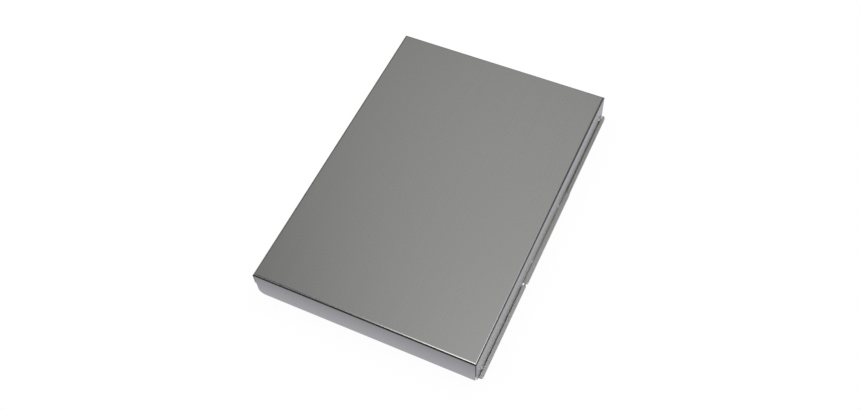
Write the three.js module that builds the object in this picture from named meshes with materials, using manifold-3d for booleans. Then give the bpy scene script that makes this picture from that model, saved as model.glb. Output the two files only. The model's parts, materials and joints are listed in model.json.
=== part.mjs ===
// Box clipboard (side-opening form holder) in folded sheet aluminium.
// Millimetres, +Z up, +Y along the long side, hinge on the +X side, clip at the -Y end.
// The origin is on the resting plane, under the middle of the cover.
import * as THREE from "three";
import { mergeVertices } from "three/addons/utils/BufferGeometryUtils.js";
import Module from "manifold-3d";

const wasm = await Module();
wasm.setup();

// ---------------------------------------------------------------- driving dimensions
const COVER = { width: 229, length: 330, height: 34, sheet: 1, bend: 1.8 };
const COVER_CLEARANCE = 0.6; // cover's end skirts above the resting plane
const HINGE_SKIRT_CLEARANCE = 2.1; // the hinge-side skirt is shorter, to pass over the tray's sheet
const LIP_DEPTH = 15; // the cover's edge on the opening side
const SKIRT_CORNER_RADIUS = 7; // free lower corner of the end skirts
const SEAM = 0.3; // slit between neighbouring folds
const SEAM_STOP = 0.2; // the slits end this far below the bend
const CORNER_TAB = { length: 20, bottom: 4, top: 31 };
const LIP_SLOT = { half: 7.5, bottom: 20.4, top: 24.4 }; // takes the latch nose

const TRAY = { sheet: 1, bend: 1.8, side: 2.3, end: 2.3, wall: 24, endWall: 14 };
const TRAY_TAB = { length: 17, bottom: 3, top: 13 };
const TRAY_FLOOR_RIGHT = 110.4; // floor edge, clear of the swinging hinge leaf
const TRAY_WALL_RIGHT = 108; // hinge-side end of the end walls
const END_WALL_RADIUS = 8;

const HINGE = { outset: 2.2, z: 2.3, pinRadius: 0.75, pinFront: -160, pinBack: 163 };
const ROLL_END = 0.3; // the rolled sheet ends this far below the pin's middle
const TRAY_KNUCKLE = { halfWidth: 1.65, halfHeight: 1.65, corner: 1.1, sheet: 0.8, endCorner: 2 };
const TRAY_KNUCKLES = [
  [-161.5, -58.2],
  [58.5, 164.5],
];
const JOGGLE = { end: 162, start: 3, gap: 0.05 }; // flat edge of the tray's leaves, beside the floor
const LEAF = {
  halfWidth: 2.1,
  halfHeight: 1.8,
  corner: 1.3,
  sheet: 0.9,
  fold: 1.6,
  relief: 0.4,
  height: 15.3,
  front: -54.5,
  back: 57.8,
};

const CORNER_RIVET = { offset: 154.5, middle: 1, z: 8.5, shank: 1.6, head: 3, headHeight: 1.2 };
const LEAF_RIVET = { offset: 35, z: 8, shank: 1.3, head: 2.1, headHeight: 0.9 };
const TRAY_RIVET = { y: 153.5, z: 8, shank: 1.3, head: 2.2, headHeight: 0.9 };
const RIVET_FIT = 0.1; // gap around a shank and under a head

const CLIP = { y: -128, z: 9.5, sheet: 1.2, plateHalf: 70, plateFront: -150, plateBack: -99 };
const CLIP_PIN = { radius: 1.3, head: 2.3, headLength: 1.2, hole: 1.6 };
const CLIP_EAR = { x: 50, radius: 4.6 };
const JAW = {
  half: 65,
  leverHalf: 48,
  leverStart: -10,
  shoulder: 6,
  tip: 7,
  tipStart: 18.5,
  reach: 40,
  cheek: 54,
  cheekRadius: 4.4,
};
const JAW_LINE = [
  [27.2, -6.2],
  [26.4, -2.2],
  [22.5, 2.8],
  [15, 5.6],
  [7, 6.7],
  [0, 6.7],
  [-8, 7.4],
  [-17, 11.4],
  [-24.5, 16],
];
const CLIP_RIVET = { x: 40, y: -143, shank: 1.5, head: 3, headHeight: 1.1, flush: 2 };
const SPRING = { x: 26, wire: 0.6, radius: 3.2, turns: 3.5, pitch: 1.5, leg: 13 };

const LATCH = { sheet: 0.6, footHalf: 14, bladeHalf: 9, bottom: 3, shoulder: 8, top: 23.6 };
const LATCH_NOTCH = { half: 8.5, bottom: 9 };
const LATCH_RIVET = { y: 10.5, z: 5.5, shank: 1.1, head: 1.9, headHeight: 0.7 };
const BUTTON = { half: 7, bottom: 10, top: 17, web: 1.1, out: 3, nose: 2.3, noseFrom: 21.2 };
const BUTTON_RIVET_Z = 19.1;

const ARC_STEPS = 5; // facets in a quarter bend
const ROUND = 16; // facets in a full circle

// ---------------------------------------------------------------- places worked out from them
const X1 = COVER.width / 2;
const Y1 = COVER.length / 2;
const hingeX = X1 + HINGE.outset;
const coverInnerX = X1 - COVER.sheet;
const coverInnerY = Y1 - COVER.sheet;
const lipBottom = COVER.height - LIP_DEPTH;
const trayX = X1 - TRAY.side;
const trayY = Y1 - TRAY.end;
const wallInner = -trayX + TRAY.sheet;
const leafMiddle = (LEAF.front + LEAF.back) / 2;

// ---------------------------------------------------------------- materials
const metal = (color, roughness) => new THREE.MeshStandardMaterial({ color, roughness, metalness: 1 });
const aluminium = () => metal(0x8f9191, 0.38);
const rivetMetal = () => metal(0xb4b6b8, 0.3);
const plated = () => metal(0xc4c5c6, 0.18);
const springSteel = () => metal(0x74767a, 0.28);

// ---------------------------------------------------------------- geometry helpers
const outline = (points) => new THREE.Shape(points.map(([u, v]) => new THREE.Vector2(u, v)));

function arc(u, v, radius, fromDegrees, toDegrees, steps = ARC_STEPS) {
  const points = [];
  for (let i = 0; i <= steps; i += 1) {
    const angle = THREE.MathUtils.degToRad(fromDegrees + ((toDegrees - fromDegrees) * i) / steps);
    points.push([u + radius * Math.cos(angle), v + radius * Math.sin(angle)]);
  }
  return points;
}

const circle = (u, v, radius) => arc(u, v, radius, 0, 360 - 360 / ROUND, ROUND - 1);

// A prism whose outline lies across one axis and whose length runs along that axis.
const AXES = {
  x: { basis: [[0, 1, 0], [0, 0, 1], [1, 0, 0]], shift: (from) => [from, 0, 0] },
  y: { basis: [[1, 0, 0], [0, 0, 1], [0, -1, 0]], shift: (from, to) => [0, to, 0] },
  z: { basis: [[1, 0, 0], [0, 1, 0], [0, 0, 1]], shift: (from) => [0, 0, from] },
};

function prismGeometry(axis, shape, from, to) {
  const geometry = new THREE.ExtrudeGeometry(shape, { depth: to - from, bevelEnabled: false });
  const { basis, shift } = AXES[axis];
  const turn = new THREE.Matrix4().makeBasis(...basis.map((b) => new THREE.Vector3(...b)));
  return geometry.applyMatrix4(turn).translate(...shift(from, to));
}

function solid(geometry) {
  const bare = geometry.clone();
  bare.deleteAttribute("normal");
  bare.deleteAttribute("uv");
  const merged = mergeVertices(bare, 1e-4);
  return new wasm.Manifold(
    new wasm.Mesh({
      numProp: 3,
      vertProperties: Float32Array.from(merged.attributes.position.array),
      triVerts: Uint32Array.from(merged.index.array),
    }),
  );
}

const prism = (axis, points, from, to) => solid(prismGeometry(axis, outline(points), from, to));
const rod = (axis, u, v, radius, from, to) => prism(axis, circle(u, v, radius), from, to);

function block([x0, x1], [y0, y1], [z0, z1]) {
  const geometry = new THREE.BoxGeometry(x1 - x0, y1 - y0, z1 - z0);
  return solid(geometry.translate((x0 + x1) / 2, (y0 + y1) / 2, (z0 + z1) / 2));
}

// The stretch from near to far on one side of the middle, lowest value first.
const span = (side, near, far) => (side < 0 ? [-far, -near] : [near, far]);

const joined = (...solids) => solids.reduce((sum, next) => sum.add(next));
const cut = (body, ...tools) => tools.reduce((rest, tool) => rest.subtract(tool), body);

function geometryOf(body) {
  const { vertProperties, triVerts } = body.getMesh();
  const geometry = new THREE.BufferGeometry();
  geometry.setAttribute("position", new THREE.BufferAttribute(Float32Array.from(vertProperties), 3));
  geometry.setIndex(new THREE.BufferAttribute(Uint32Array.from(triVerts), 1));
  geometry.computeVertexNormals();
  return geometry;
}

function part(name, body, material) {
  const mesh = new THREE.Mesh(body.isBufferGeometry ? body : geometryOf(body), material);
  mesh.name = name;
  return mesh;
}

// A rivet along X through a stack from inner to outer. direction is the side its domed head is on.
function rivet(name, { y, z, inner, outer, direction, shank, head, headHeight, tail = 0.8 }) {
  const stack = outer - inner;
  const profile = [
    [0, -RIVET_FIT - tail],
    [head * 0.8, -RIVET_FIT - tail],
    [head * 0.8, -RIVET_FIT],
    [shank, -RIVET_FIT],
    [shank, stack + RIVET_FIT],
    [head, stack + RIVET_FIT],
    [head * 0.92, stack + RIVET_FIT + headHeight * 0.5],
    [head * 0.6, stack + RIVET_FIT + headHeight * 0.88],
    [0, stack + RIVET_FIT + headHeight],
  ];
  const points = profile.map(([radius, along]) => new THREE.Vector2(radius, along));
  const geometry = new THREE.LatheGeometry(points, ROUND);
  geometry.rotateZ((-direction * Math.PI) / 2);
  geometry.translate(direction > 0 ? inner : outer, y, z);
  return part(name, solid(geometry), rivetMetal());
}

const rivetHole = ({ y, z, inner, outer, shank }) =>
  rod("x", y, z, shank + RIVET_FIT, inner - 0.5, outer + 0.5);

// ---------------------------------------------------------------- cover
// A top panel folded down on all sides. Outside the bend radius is COVER.bend.
function foldedLid() {
  const { height, sheet, bend } = COVER;
  const arch = (half, top, radius, bottom) => [
    [-half, bottom],
    [half, bottom],
    ...arc(half - radius, top - radius, radius, 0, 90),
    ...arc(-half + radius, top - radius, radius, 90, 180),
  ];
  const domeOf = (halfX, halfY, top, radius, bottom) =>
    prism("y", arch(halfX, top, radius, bottom), -halfY, halfY).intersect(
      prism("x", arch(halfY, top, radius, bottom), -halfX, halfX),
    );
  const outside = domeOf(X1, Y1, height, bend, COVER_CLEARANCE);
  const inside = domeOf(coverInnerX, coverInnerY, height - sheet, bend - sheet, -5);
  return outside.subtract(inside);
}

const tabInner = coverInnerX - SEAM - COVER.sheet;
const cornerRivetAt = (side) => ({
  ...CORNER_RIVET,
  y: CORNER_RIVET.middle + side * CORNER_RIVET.offset,
  inner: tabInner,
  outer: X1,
  direction: 1,
});
const leafInner = coverInnerX - SEAM - LEAF.sheet;
const leafRivetAt = (side) => ({
  ...LEAF_RIVET,
  y: leafMiddle + side * LEAF_RIVET.offset,
  inner: leafInner,
  outer: X1,
  direction: 1,
});

function coverShell() {
  const openEdge = -coverInnerX + SEAM_STOP; // free edge of the end skirts on the opening side
  const seamTop = COVER.height - COVER.bend - SEAM_STOP;
  const beyond = Y1 + 1;
  let shell = foldedLid();
  for (const side of [-1, 1]) {
    const tabEnds = span(side, coverInnerY - CORNER_TAB.length, Y1 - 0.5);
    const slitEnds = span(side, coverInnerY - CORNER_TAB.length - 1, beyond);
    const skirtEnds = span(side, coverInnerY - 0.1, beyond);
    shell = shell.add(block([tabInner, coverInnerX], tabEnds, [CORNER_TAB.bottom, CORNER_TAB.top]));
    const corner = SKIRT_CORNER_RADIUS;
    const rounding = prism(
      "y",
      [
        [openEdge - 1, COVER_CLEARANCE - 1],
        [openEdge + corner, COVER_CLEARANCE - 1],
        ...arc(openEdge + corner, COVER_CLEARANCE + corner, corner, 270, 180),
        [openEdge - 1, COVER_CLEARANCE + corner],
      ],
      ...skirtEnds,
    );
    shell = cut(
      shell,
      block([coverInnerX - SEAM, coverInnerX], slitEnds, [-1, seamTop]),
      block([-X1 + COVER.sheet, openEdge], skirtEnds, [-1, seamTop]),
      rounding,
      rivetHole(cornerRivetAt(side)),
      rivetHole(leafRivetAt(side)),
    );
  }
  const { half, bottom, top } = LIP_SLOT;
  const slot = block([-X1 - 1, -coverInnerX + 1], [-half, half], [bottom, top]);
  return cut(
    shell,
    block([-X1 - 1, openEdge], [-beyond, beyond], [-1, lipBottom]),
    block([coverInnerX - SEAM, X1 + 1], [-beyond, beyond], [-1, HINGE_SKIRT_CLEARANCE]),
    slot,
  );
}

// Sheet rolled round the hinge pin and pressed square: it comes in below the pin, goes up on the
// outer side, over the top and part of the way down the inner side.
function rolled({ halfWidth, halfHeight, corner, sheet }, tail) {
  const left = hingeX - halfWidth;
  const right = hingeX + halfWidth;
  const low = HINGE.z - halfHeight + corner;
  const high = HINGE.z + halfHeight - corner;
  const end = HINGE.z - ROLL_END;
  const inner = corner - sheet;
  return [
    ...arc(right - corner, low, corner, -90, 0),
    ...arc(right - corner, high, corner, 0, 90),
    ...arc(left + corner, high, corner, 90, 180),
    [left, end],
    [left + sheet, end],
    ...arc(left + corner, high, inner, 180, 90),
    ...arc(right - corner, high, inner, 90, 0),
    ...arc(right - corner, low, inner, 0, -90),
    ...tail,
  ];
}

function hingeLeaf() {
  const bottom = HINGE.z - LEAF.halfHeight;
  const top = bottom + LEAF.sheet;
  const left = leafInner;
  const right = leafInner + LEAF.sheet;
  const profile = rolled(LEAF, [
    [right + LEAF.relief, top],
    [right, top + LEAF.relief],
    [right, LEAF.height],
    [left, LEAF.height],
    ...arc(left + LEAF.fold, bottom + LEAF.fold, LEAF.fold, 180, 270, 3),
  ]);
  return cut(
    prism("y", profile, LEAF.front, LEAF.back),
    ...[-1, 1].map((side) => rivetHole(leafRivetAt(side))),
  );
}

// ---------------------------------------------------------------- tray
const trayRivetAt = (side) => ({
  ...TRAY_RIVET,
  y: side * TRAY_RIVET.y,
  inner: -trayX,
  outer: wallInner + SEAM + TRAY.sheet,
  direction: -1,
});
const latchInner = wallInner + SEAM; // face of the latch leaf towards the wall
const latchRivetAt = (side) => ({
  ...LATCH_RIVET,
  y: side * LATCH_RIVET.y,
  inner: -trayX,
  outer: latchInner + LATCH.sheet,
  direction: -1,
});

function foldedTray() {
  const { sheet, bend, wall } = TRAY;
  const right = TRAY_FLOOR_RIGHT;
  const channel = (half, bottom, radius) => [
    ...arc(-half + radius, bottom + radius, radius, 180, 270),
    ...arc(half - radius, bottom + radius, radius, 270, 360),
    [half, wall],
    [-half, wall],
  ];
  const side = (left, end, bottom, radius) => [
    ...arc(left + radius, bottom + radius, radius, 180, 270),
    [end, bottom],
    [end, wall],
    [left, wall],
  ];
  const outside = prism("y", side(-trayX, right, 0, bend), -trayY, trayY).intersect(
    prism("x", channel(trayY, 0, bend), -trayX, right),
  );
  const innerY = trayY - sheet;
  const inside = prism("y", side(wallInner, right + 2, sheet, bend - sheet), -innerY, innerY).intersect(
    prism("x", channel(innerY, sheet, bend - sheet), wallInner, right + 2),
  );
  return outside.subtract(inside);
}

// One of the tray's two hinge leaves: a knuckle with a narrow flat that meets the floor's edge. The
// free end is rounded in plan, and past the tray's end only the rolled part is left.
function trayLeaf([from, to]) {
  const bottom = HINGE.z - TRAY_KNUCKLE.halfHeight;
  const lifted = coverInnerX - JOGGLE.start;
  const flatEdge = TRAY_FLOOR_RIGHT + JOGGLE.gap;
  const profile = rolled(TRAY_KNUCKLE, [
    [coverInnerX, bottom + TRAY_KNUCKLE.sheet],
    [lifted + 1, TRAY.sheet],
    [flatEdge, TRAY.sheet],
    [flatEdge, 0],
    [lifted + 1, 0],
    [coverInnerX, bottom],
  ]);
  const edge = hingeX + TRAY_KNUCKLE.halfWidth;
  const inside = hingeX - TRAY_KNUCKLE.halfWidth;
  const corner = TRAY_KNUCKLE.endCorner;
  const free = Math.abs(from) > Math.abs(to) ? from : to;
  const fixed = free === from ? to : from;
  const side = Math.sign(free);
  const plan = [
    [flatEdge - 1, side * fixed],
    [edge, side * fixed],
    ...arc(edge - corner, side * free - corner, corner, 0, 90),
    [inside, side * free],
    [inside, Math.min(JOGGLE.end, side * free)],
    [flatEdge - 1, Math.min(JOGGLE.end, side * free)],
  ].map(([x, y]) => [x, side * y]);
  return prism("y", profile, from, to).intersect(prism("z", plan, -1, TRAY.wall));
}

function baseTray() {
  const { sheet, endWall } = TRAY;
  const innerY = trayY - sheet;
  let tray = foldedTray();
  for (const side of [-1, 1]) {
    const wallEnds = span(side, innerY - 0.1, trayY + 1);
    const tabEnds = span(side, innerY - TRAY_TAB.length, innerY + 0.5);
    const tabX = [wallInner + SEAM, wallInner + SEAM + sheet];
    const endTop = endWall - END_WALL_RADIUS;
    const aboveEndWall = prism(
      "y",
      [
        [wallInner + SEAM, endWall],
        ...arc(TRAY_WALL_RIGHT - END_WALL_RADIUS, endTop, END_WALL_RADIUS, 90, 0),
        [TRAY_WALL_RIGHT, 1.6],
        [TRAY_FLOOR_RIGHT + 1, 1.6],
        [TRAY_FLOOR_RIGHT + 1, TRAY.wall + 1],
        [wallInner + SEAM, TRAY.wall + 1],
      ],
      ...wallEnds,
    );
    tray = cut(tray.add(block(tabX, tabEnds, [TRAY_TAB.bottom, TRAY_TAB.top])), aboveEndWall);
    tray = cut(tray, rivetHole(trayRivetAt(side)), rivetHole(latchRivetAt(side)));
  }
  const notch = block(
    [-trayX - 1, wallInner + 0.1],
    [-LATCH_NOTCH.half, LATCH_NOTCH.half],
    [LATCH_NOTCH.bottom, TRAY.wall + 1],
  );
  const clipHoles = [-1, 1].map((side) =>
    rod("z", side * CLIP_RIVET.x, CLIP_RIVET.y, CLIP_RIVET.flush + RIVET_FIT, -1, sheet + 0.5),
  );
  return cut(tray, notch, ...clipHoles);
}

// ---------------------------------------------------------------- clip
const plateBottom = TRAY.sheet + RIVET_FIT;
const plateTop = plateBottom + CLIP.sheet;

function clipBase() {
  const { plateHalf, plateFront, plateBack } = CLIP;
  const corner = 5;
  const plan = [
    ...arc(-plateHalf + corner, plateFront + corner, corner, 180, 270, 3),
    ...arc(plateHalf - corner, plateFront + corner, corner, 270, 360, 3),
    ...arc(plateHalf - corner, plateBack - corner, corner, 0, 90, 3),
    ...arc(-plateHalf + corner, plateBack - corner, corner, 90, 180, 3),
  ];
  const ear = [
    [CLIP.y - 6.5, plateBottom + 0.3],
    [CLIP.y + 6.5, plateBottom + 0.3],
    ...arc(CLIP.y, CLIP.z, CLIP_EAR.radius, 0, 180, 10),
  ];
  const ears = [-1, 1].map((side) => prism("x", ear, ...span(side, CLIP_EAR.x, CLIP_EAR.x + CLIP.sheet)));
  const holes = [-1, 1].map((side) =>
    rod("z", side * CLIP_RIVET.x, CLIP_RIVET.y, CLIP_RIVET.shank + RIVET_FIT, 0, 5),
  );
  return cut(
    joined(prism("z", plan, plateBottom, plateTop), ...ears),
    rod("x", CLIP.y, CLIP.z, CLIP_PIN.hole, -plateHalf, plateHalf),
    ...holes,
  );
}

// The jaw's section: one strip of even thickness along a smooth line, round the pivot.
function jawSection() {
  const line = new THREE.SplineCurve(JAW_LINE.map(([y, z]) => new THREE.Vector2(y, z)));
  const steps = 26;
  const upper = [];
  const lower = [];
  for (let i = 0; i <= steps; i += 1) {
    const point = line.getPoint(i / steps);
    const tangent = line.getTangent(i / steps);
    const normal = new THREE.Vector2(-tangent.y, tangent.x).multiplyScalar(CLIP.sheet / 2);
    upper.push([CLIP.y + point.x - normal.x, CLIP.z + point.y - normal.y]);
    lower.push([CLIP.y + point.x + normal.x, CLIP.z + point.y + normal.y]);
  }
  return [...upper, ...lower.reverse()];
}

function clipJaw() {
  const { half, leverHalf, leverStart, shoulder, tip, tipStart, cheek, cheekRadius } = JAW;
  const strip = prism("x", jawSection(), -half, half);
  const start = CLIP.y + leverStart;
  const end = CLIP.y - JAW.reach;
  const sides = [-1, 1].map((side) => {
    const plan = [
      [half + 1, start],
      ...arc(leverHalf + shoulder, start - shoulder, shoulder, 90, 180, 4),
      [leverHalf, end + 20],
      ...arc(leverHalf - tip, CLIP.y - tipStart, tip, 0, -90, 5),
      [leverHalf - tip, end],
      [half + 1, end],
    ];
    return prism("z", plan.map(([x, y]) => [side * x, y]), 0, 34);
  });
  const cheekOutline = [
    ...arc(CLIP.y, CLIP.z, cheekRadius, 180, 360, 10),
    [CLIP.y + 9, CLIP.z + 6.4],
    [CLIP.y, CLIP.z + 6.8],
    [CLIP.y - 7.5, CLIP.z + 7.2],
  ];
  const cheeks = [-1, 1].map((side) => prism("x", cheekOutline, ...span(side, cheek, cheek + CLIP.sheet)));
  return cut(
    joined(cut(strip, ...sides), ...cheeks),
    rod("x", CLIP.y, CLIP.z, CLIP_PIN.hole, -half, half),
  );
}

function clipPin() {
  const reach = JAW.cheek + CLIP.sheet + 0.3;
  const { radius, head, headLength } = CLIP_PIN;
  return joined(
    rod("x", CLIP.y, CLIP.z, radius, -reach - 0.1, reach + 0.1),
    rod("x", CLIP.y, CLIP.z, head, reach, reach + headLength),
    rod("x", CLIP.y, CLIP.z, head, -reach - headLength, -reach),
  );
}

function clipRivet() {
  const { shank, head, headHeight, flush } = CLIP_RIVET;
  const top = plateTop + RIVET_FIT;
  const points = [
    [0, 0.05],
    [flush, 0.05],
    [flush, TRAY.sheet],
    [shank, TRAY.sheet],
    [shank, top],
    [head, top],
    [head, top + headHeight * 0.4],
    [head * 0.82, top + headHeight * 0.8],
    [0, top + headHeight],
  ].map(([radius, z]) => new THREE.Vector2(radius, z));
  return solid(new THREE.LatheGeometry(points, ROUND).rotateX(Math.PI / 2));
}

// A torsion spring round the pin: one leg lies on the plate, the other lifts the lever.
function clipSpring(middle) {
  const { wire, radius, turns, pitch, leg } = SPRING;
  const points = [];
  const start = middle - (turns * pitch) / 2;
  for (let i = 0; i < 4; i += 1) points.push([start, -leg + (leg * i) / 4, -radius - 1.6 + 0.4 * i]);
  const perTurn = 10;
  const steps = turns * perTurn;
  for (let i = 0; i <= steps; i += 1) {
    const angle = -Math.PI / 2 + (2 * Math.PI * i) / perTurn;
    points.push([start + (pitch * i) / perTurn, radius * Math.cos(angle), radius * Math.sin(angle)]);
  }
  const end = start + turns * pitch;
  for (let i = 1; i <= 4; i += 1) points.push([end, (-leg * i) / 4, radius + i * 1.05]);
  const path = new THREE.CatmullRomCurve3(
    points.map(([x, y, z]) => new THREE.Vector3(x, CLIP.y + y, CLIP.z + z)),
  );
  const section = new THREE.Shape();
  section.absarc(0, 0, wire, 0, 2 * Math.PI);
  return solid(
    new THREE.ExtrudeGeometry(section, { extrudePath: path, steps: points.length, curveSegments: 3 }),
  );
}

// ---------------------------------------------------------------- latch
function latchLeaf() {
  const { sheet, footHalf, bladeHalf, bottom, shoulder, top } = LATCH;
  const face = [
    [-footHalf, bottom],
    [footHalf, bottom],
    [footHalf, shoulder],
    ...arc(bladeHalf + 2, shoulder + 2, 2, 270, 180, 3),
    [bladeHalf, top],
    [-bladeHalf, top],
    ...arc(-bladeHalf - 2, shoulder + 2, 2, 0, -90, 3),
    [-footHalf, shoulder],
  ];
  return cut(
    prism("x", face, latchInner, latchInner + sheet),
    ...[-1, 1].map((side) => rivetHole(latchRivetAt(side))),
    rod("x", 0, BUTTON_RIVET_Z, LATCH_RIVET.shank + RIVET_FIT, latchInner - 1, latchInner + 2),
  );
}

const buttonBack = latchInner - RIVET_FIT;
const buttonRivet = {
  ...LATCH_RIVET,
  y: 0,
  z: BUTTON_RIVET_Z,
  inner: buttonBack - BUTTON.web,
  outer: latchInner + LATCH.sheet,
  direction: -1,
};

function latchButton() {
  const { half, bottom, top, web, out, nose, noseFrom } = BUTTON;
  const profile = [
    [buttonBack, bottom],
    [buttonBack, LATCH.top],
    [buttonBack - nose, LATCH.top - 0.6],
    [buttonBack - nose, noseFrom],
    [buttonBack - web, noseFrom],
    [buttonBack - web, top],
    ...arc(buttonBack - out + 1, top - 1, 1, 90, 180, 3),
    ...arc(buttonBack - out + 1, bottom + 1, 1, 180, 270, 3),
  ];
  return cut(prism("y", profile.reverse(), -half, half), rivetHole(buttonRivet));
}

function hingePin() {
  return rod("y", hingeX, HINGE.z, HINGE.pinRadius, HINGE.pinFront, HINGE.pinBack);
}

// ---------------------------------------------------------------- assembly
const clipboard = new THREE.Group();

const base = new THREE.Group();
base.add(part("base_tray", baseTray(), aluminium()));
base.add(part("hinge_pin", hingePin(), plated()));
base.add(part("clip_base", clipBase(), plated()));
base.add(part("clip_pin", clipPin(), plated()));
base.add(part("latch_leaf", latchLeaf(), springSteel()));
for (const [side, end] of [[-1, "front"], [1, "back"]]) {
  base.add(part(`tray_hinge_leaf_${end}`, trayLeaf(TRAY_KNUCKLES[side < 0 ? 0 : 1]), aluminium()));
  base.add(rivet(`tray_rivet_${end}`, trayRivetAt(side)));
  base.add(rivet(`latch_rivet_${end}`, latchRivetAt(side)));
}
for (const [side, hand] of [[-1, "left"], [1, "right"]]) {
  const fixing = part(`clip_rivet_${hand}`, clipRivet(), rivetMetal());
  fixing.position.set(side * CLIP_RIVET.x, CLIP_RIVET.y, 0);
  base.add(fixing);
  base.add(part(`clip_spring_${hand}`, clipSpring(side * SPRING.x), springSteel()));
}

const jaw = new THREE.Group();
jaw.add(part("clip_jaw", clipJaw(), plated()));

const latch = new THREE.Group();
latch.add(part("latch_button", latchButton(), plated()));
latch.add(rivet("latch_button_rivet", buttonRivet));

const cover = new THREE.Group();
cover.add(part("cover_shell", coverShell(), aluminium()));
cover.add(part("cover_hinge_leaf", hingeLeaf(), aluminium()));
for (const [side, end] of [[-1, "front"], [1, "back"]]) {
  cover.add(rivet(`corner_rivet_${end}`, cornerRivetAt(side)));
  cover.add(rivet(`leaf_rivet_${end}`, leafRivetAt(side)));
}

clipboard.add(base, jaw, latch, cover);
export default clipboard;
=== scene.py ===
"""Box clipboard: the looks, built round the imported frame. The modelling is in millimetres."""

import json
import math

import bmesh
import bpy
from mathutils import Matrix, Vector


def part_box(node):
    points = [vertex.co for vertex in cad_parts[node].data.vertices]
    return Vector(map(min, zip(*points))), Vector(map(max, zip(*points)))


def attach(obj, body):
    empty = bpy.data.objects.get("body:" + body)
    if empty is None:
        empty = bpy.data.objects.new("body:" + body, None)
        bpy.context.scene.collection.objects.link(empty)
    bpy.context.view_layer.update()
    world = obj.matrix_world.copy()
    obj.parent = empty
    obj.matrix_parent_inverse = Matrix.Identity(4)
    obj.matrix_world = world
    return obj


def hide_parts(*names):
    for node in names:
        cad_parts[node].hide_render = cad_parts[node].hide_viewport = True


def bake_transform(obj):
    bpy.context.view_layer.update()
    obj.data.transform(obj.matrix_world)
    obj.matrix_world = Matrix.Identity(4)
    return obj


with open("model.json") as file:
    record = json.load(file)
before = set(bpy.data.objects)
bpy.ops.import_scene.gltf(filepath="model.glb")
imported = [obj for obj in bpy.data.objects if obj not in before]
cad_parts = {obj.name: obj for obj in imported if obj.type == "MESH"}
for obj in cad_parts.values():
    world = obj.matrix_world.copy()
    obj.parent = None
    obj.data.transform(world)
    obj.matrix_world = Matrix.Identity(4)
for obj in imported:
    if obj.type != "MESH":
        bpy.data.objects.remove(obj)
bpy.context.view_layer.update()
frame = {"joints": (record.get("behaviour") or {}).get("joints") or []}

MM = 0.001
PAST = 1  # how far a cutting tool runs past what it cuts


# ---------------------------------------------------------------- sizes, from the frame where it holds them
def corners(node):
    """Lowest and highest corner of a CAD node, in millimetres."""
    low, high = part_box(node)
    return low / MM, high / MM


def joint_point(name):
    """A joint's point, in millimetres."""
    joint = next(j for j in frame["joints"] if j["name"] == name)
    return Vector(joint["pos_m"]) / MM


COVER_LOW, COVER_HIGH = corners("cover_shell")
HALF_X = COVER_HIGH.x
HALF_Y = COVER_HIGH.y
TOP = COVER_HIGH.z
SHEET = 1.0
BEND = 1.8
COVER_BEND = 2.3
SEAM = 0.3
LIP_DEPTH = 15.0
SKIRT_CORNER = 7.0
HINGE_SKIRT_BOTTOM = 2.1
SKIRT_SETBACK = 0.9
CORNER_GAP = 0.75
CORNER_GAP_LENGTH = 2.5
TAB_LENGTH = 20.0
TAB_FOLD = 1.6
TAB_HEIGHT = (4, TOP - 3)
CORNER_DISH = (5.0, 0.85)  # radius and depth
LEAF_DISH = (3.0, 0.35)

TRAY_LOW, TRAY_HIGH = corners("base_tray")
TRAY_LEFT = TRAY_LOW.x
TRAY_HALF_Y = TRAY_HIGH.y
TRAY_WALL = TRAY_HIGH.z
TRAY_END_WALL = 14.0
TRAY_FLOOR_RIGHT = 110.4
TRAY_WALL_RIGHT = 108.0
END_WALL_CORNER = 8.0
TRAY_TAB_LENGTH = 17.0
TRAY_TAB_HEIGHT = (3, 13)
TRAY_OPEN_CORNER = 1.6
THUMB_NOTCH = {"half": 8.5, "bottom": 9}

HINGE = joint_point("cover_hinge")
PIVOT = joint_point("jaw_hinge")
FLEX = joint_point("latch_flex")
LEAF_LOW, LEAF_HIGH = corners("cover_hinge_leaf")
PIN_LOW, PIN_HIGH = corners("hinge_pin")
LATCH_LOW, LATCH_HIGH = corners("latch_leaf")
BUTTON_LOW, BUTTON_HIGH = corners("latch_button")
PLATE_LOW, PLATE_HIGH = corners("clip_base")
LIP_SLOT = {"half": 7.5, "low": LATCH_HIGH.z - 3.2, "high": LATCH_HIGH.z + 0.8}
ROLL_END = 0.3
ROLL_INSIDE = 0.2
TRAY_LEAF = {end: corners(f"tray_hinge_leaf_{end}") for end in ("front", "back")}
KNUCKLE_EDGE = TRAY_LEAF["front"][1].x
KNUCKLE_HALF = KNUCKLE_EDGE - HINGE.x
KNUCKLE = {"half_width": KNUCKLE_HALF, "half_height": KNUCKLE_HALF, "corner": 0.35, "sheet": 0.8}
KNUCKLE_END_CORNER = 2.6
LEAF = {
    "half_width": LEAF_HIGH.x - HINGE.x,
    "half_height": HINGE.z - LEAF_LOW.z,
    "corner": 0.4,
    "sheet": 0.9,
}
LEAF_FOLD = 1.6
LEAF_FILLET = 0.4
LEAF_END_CORNER = 0.8
JOGGLE_END = 162.0

CORNER_HOLE = 1.7
SMALL_HOLE = 1.4
LATCH_HOLE = 1.2
FLUSH_HOLE = 2.1
CLIP_RIVET_HOLE = 1.6

BEND_STEPS = 8
ROUND = 48


def middle(node):
    low, high = corners(node)
    return (low + high) / 2


# ---------------------------------------------------------------- mesh helpers
def arc(u, v, radius, start, end, steps=BEND_STEPS):
    """Points of an arc in a plane, angles in degrees."""
    angles = [math.radians(start + (end - start) * i / steps) for i in range(steps + 1)]
    return [(u + radius * math.cos(a), v + radius * math.sin(a)) for a in angles]


def circle(u, v, radius, steps=ROUND):
    return arc(u, v, radius, 0, 360 - 360 / steps, steps - 1)


# where a point (u, v) across an axis, and w along it, lies
PLACE = {
    "x": lambda u, v, w: (w, u, v),
    "y": lambda u, v, w: (u, w, v),
    "z": lambda u, v, w: (u, v, w),
}


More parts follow.
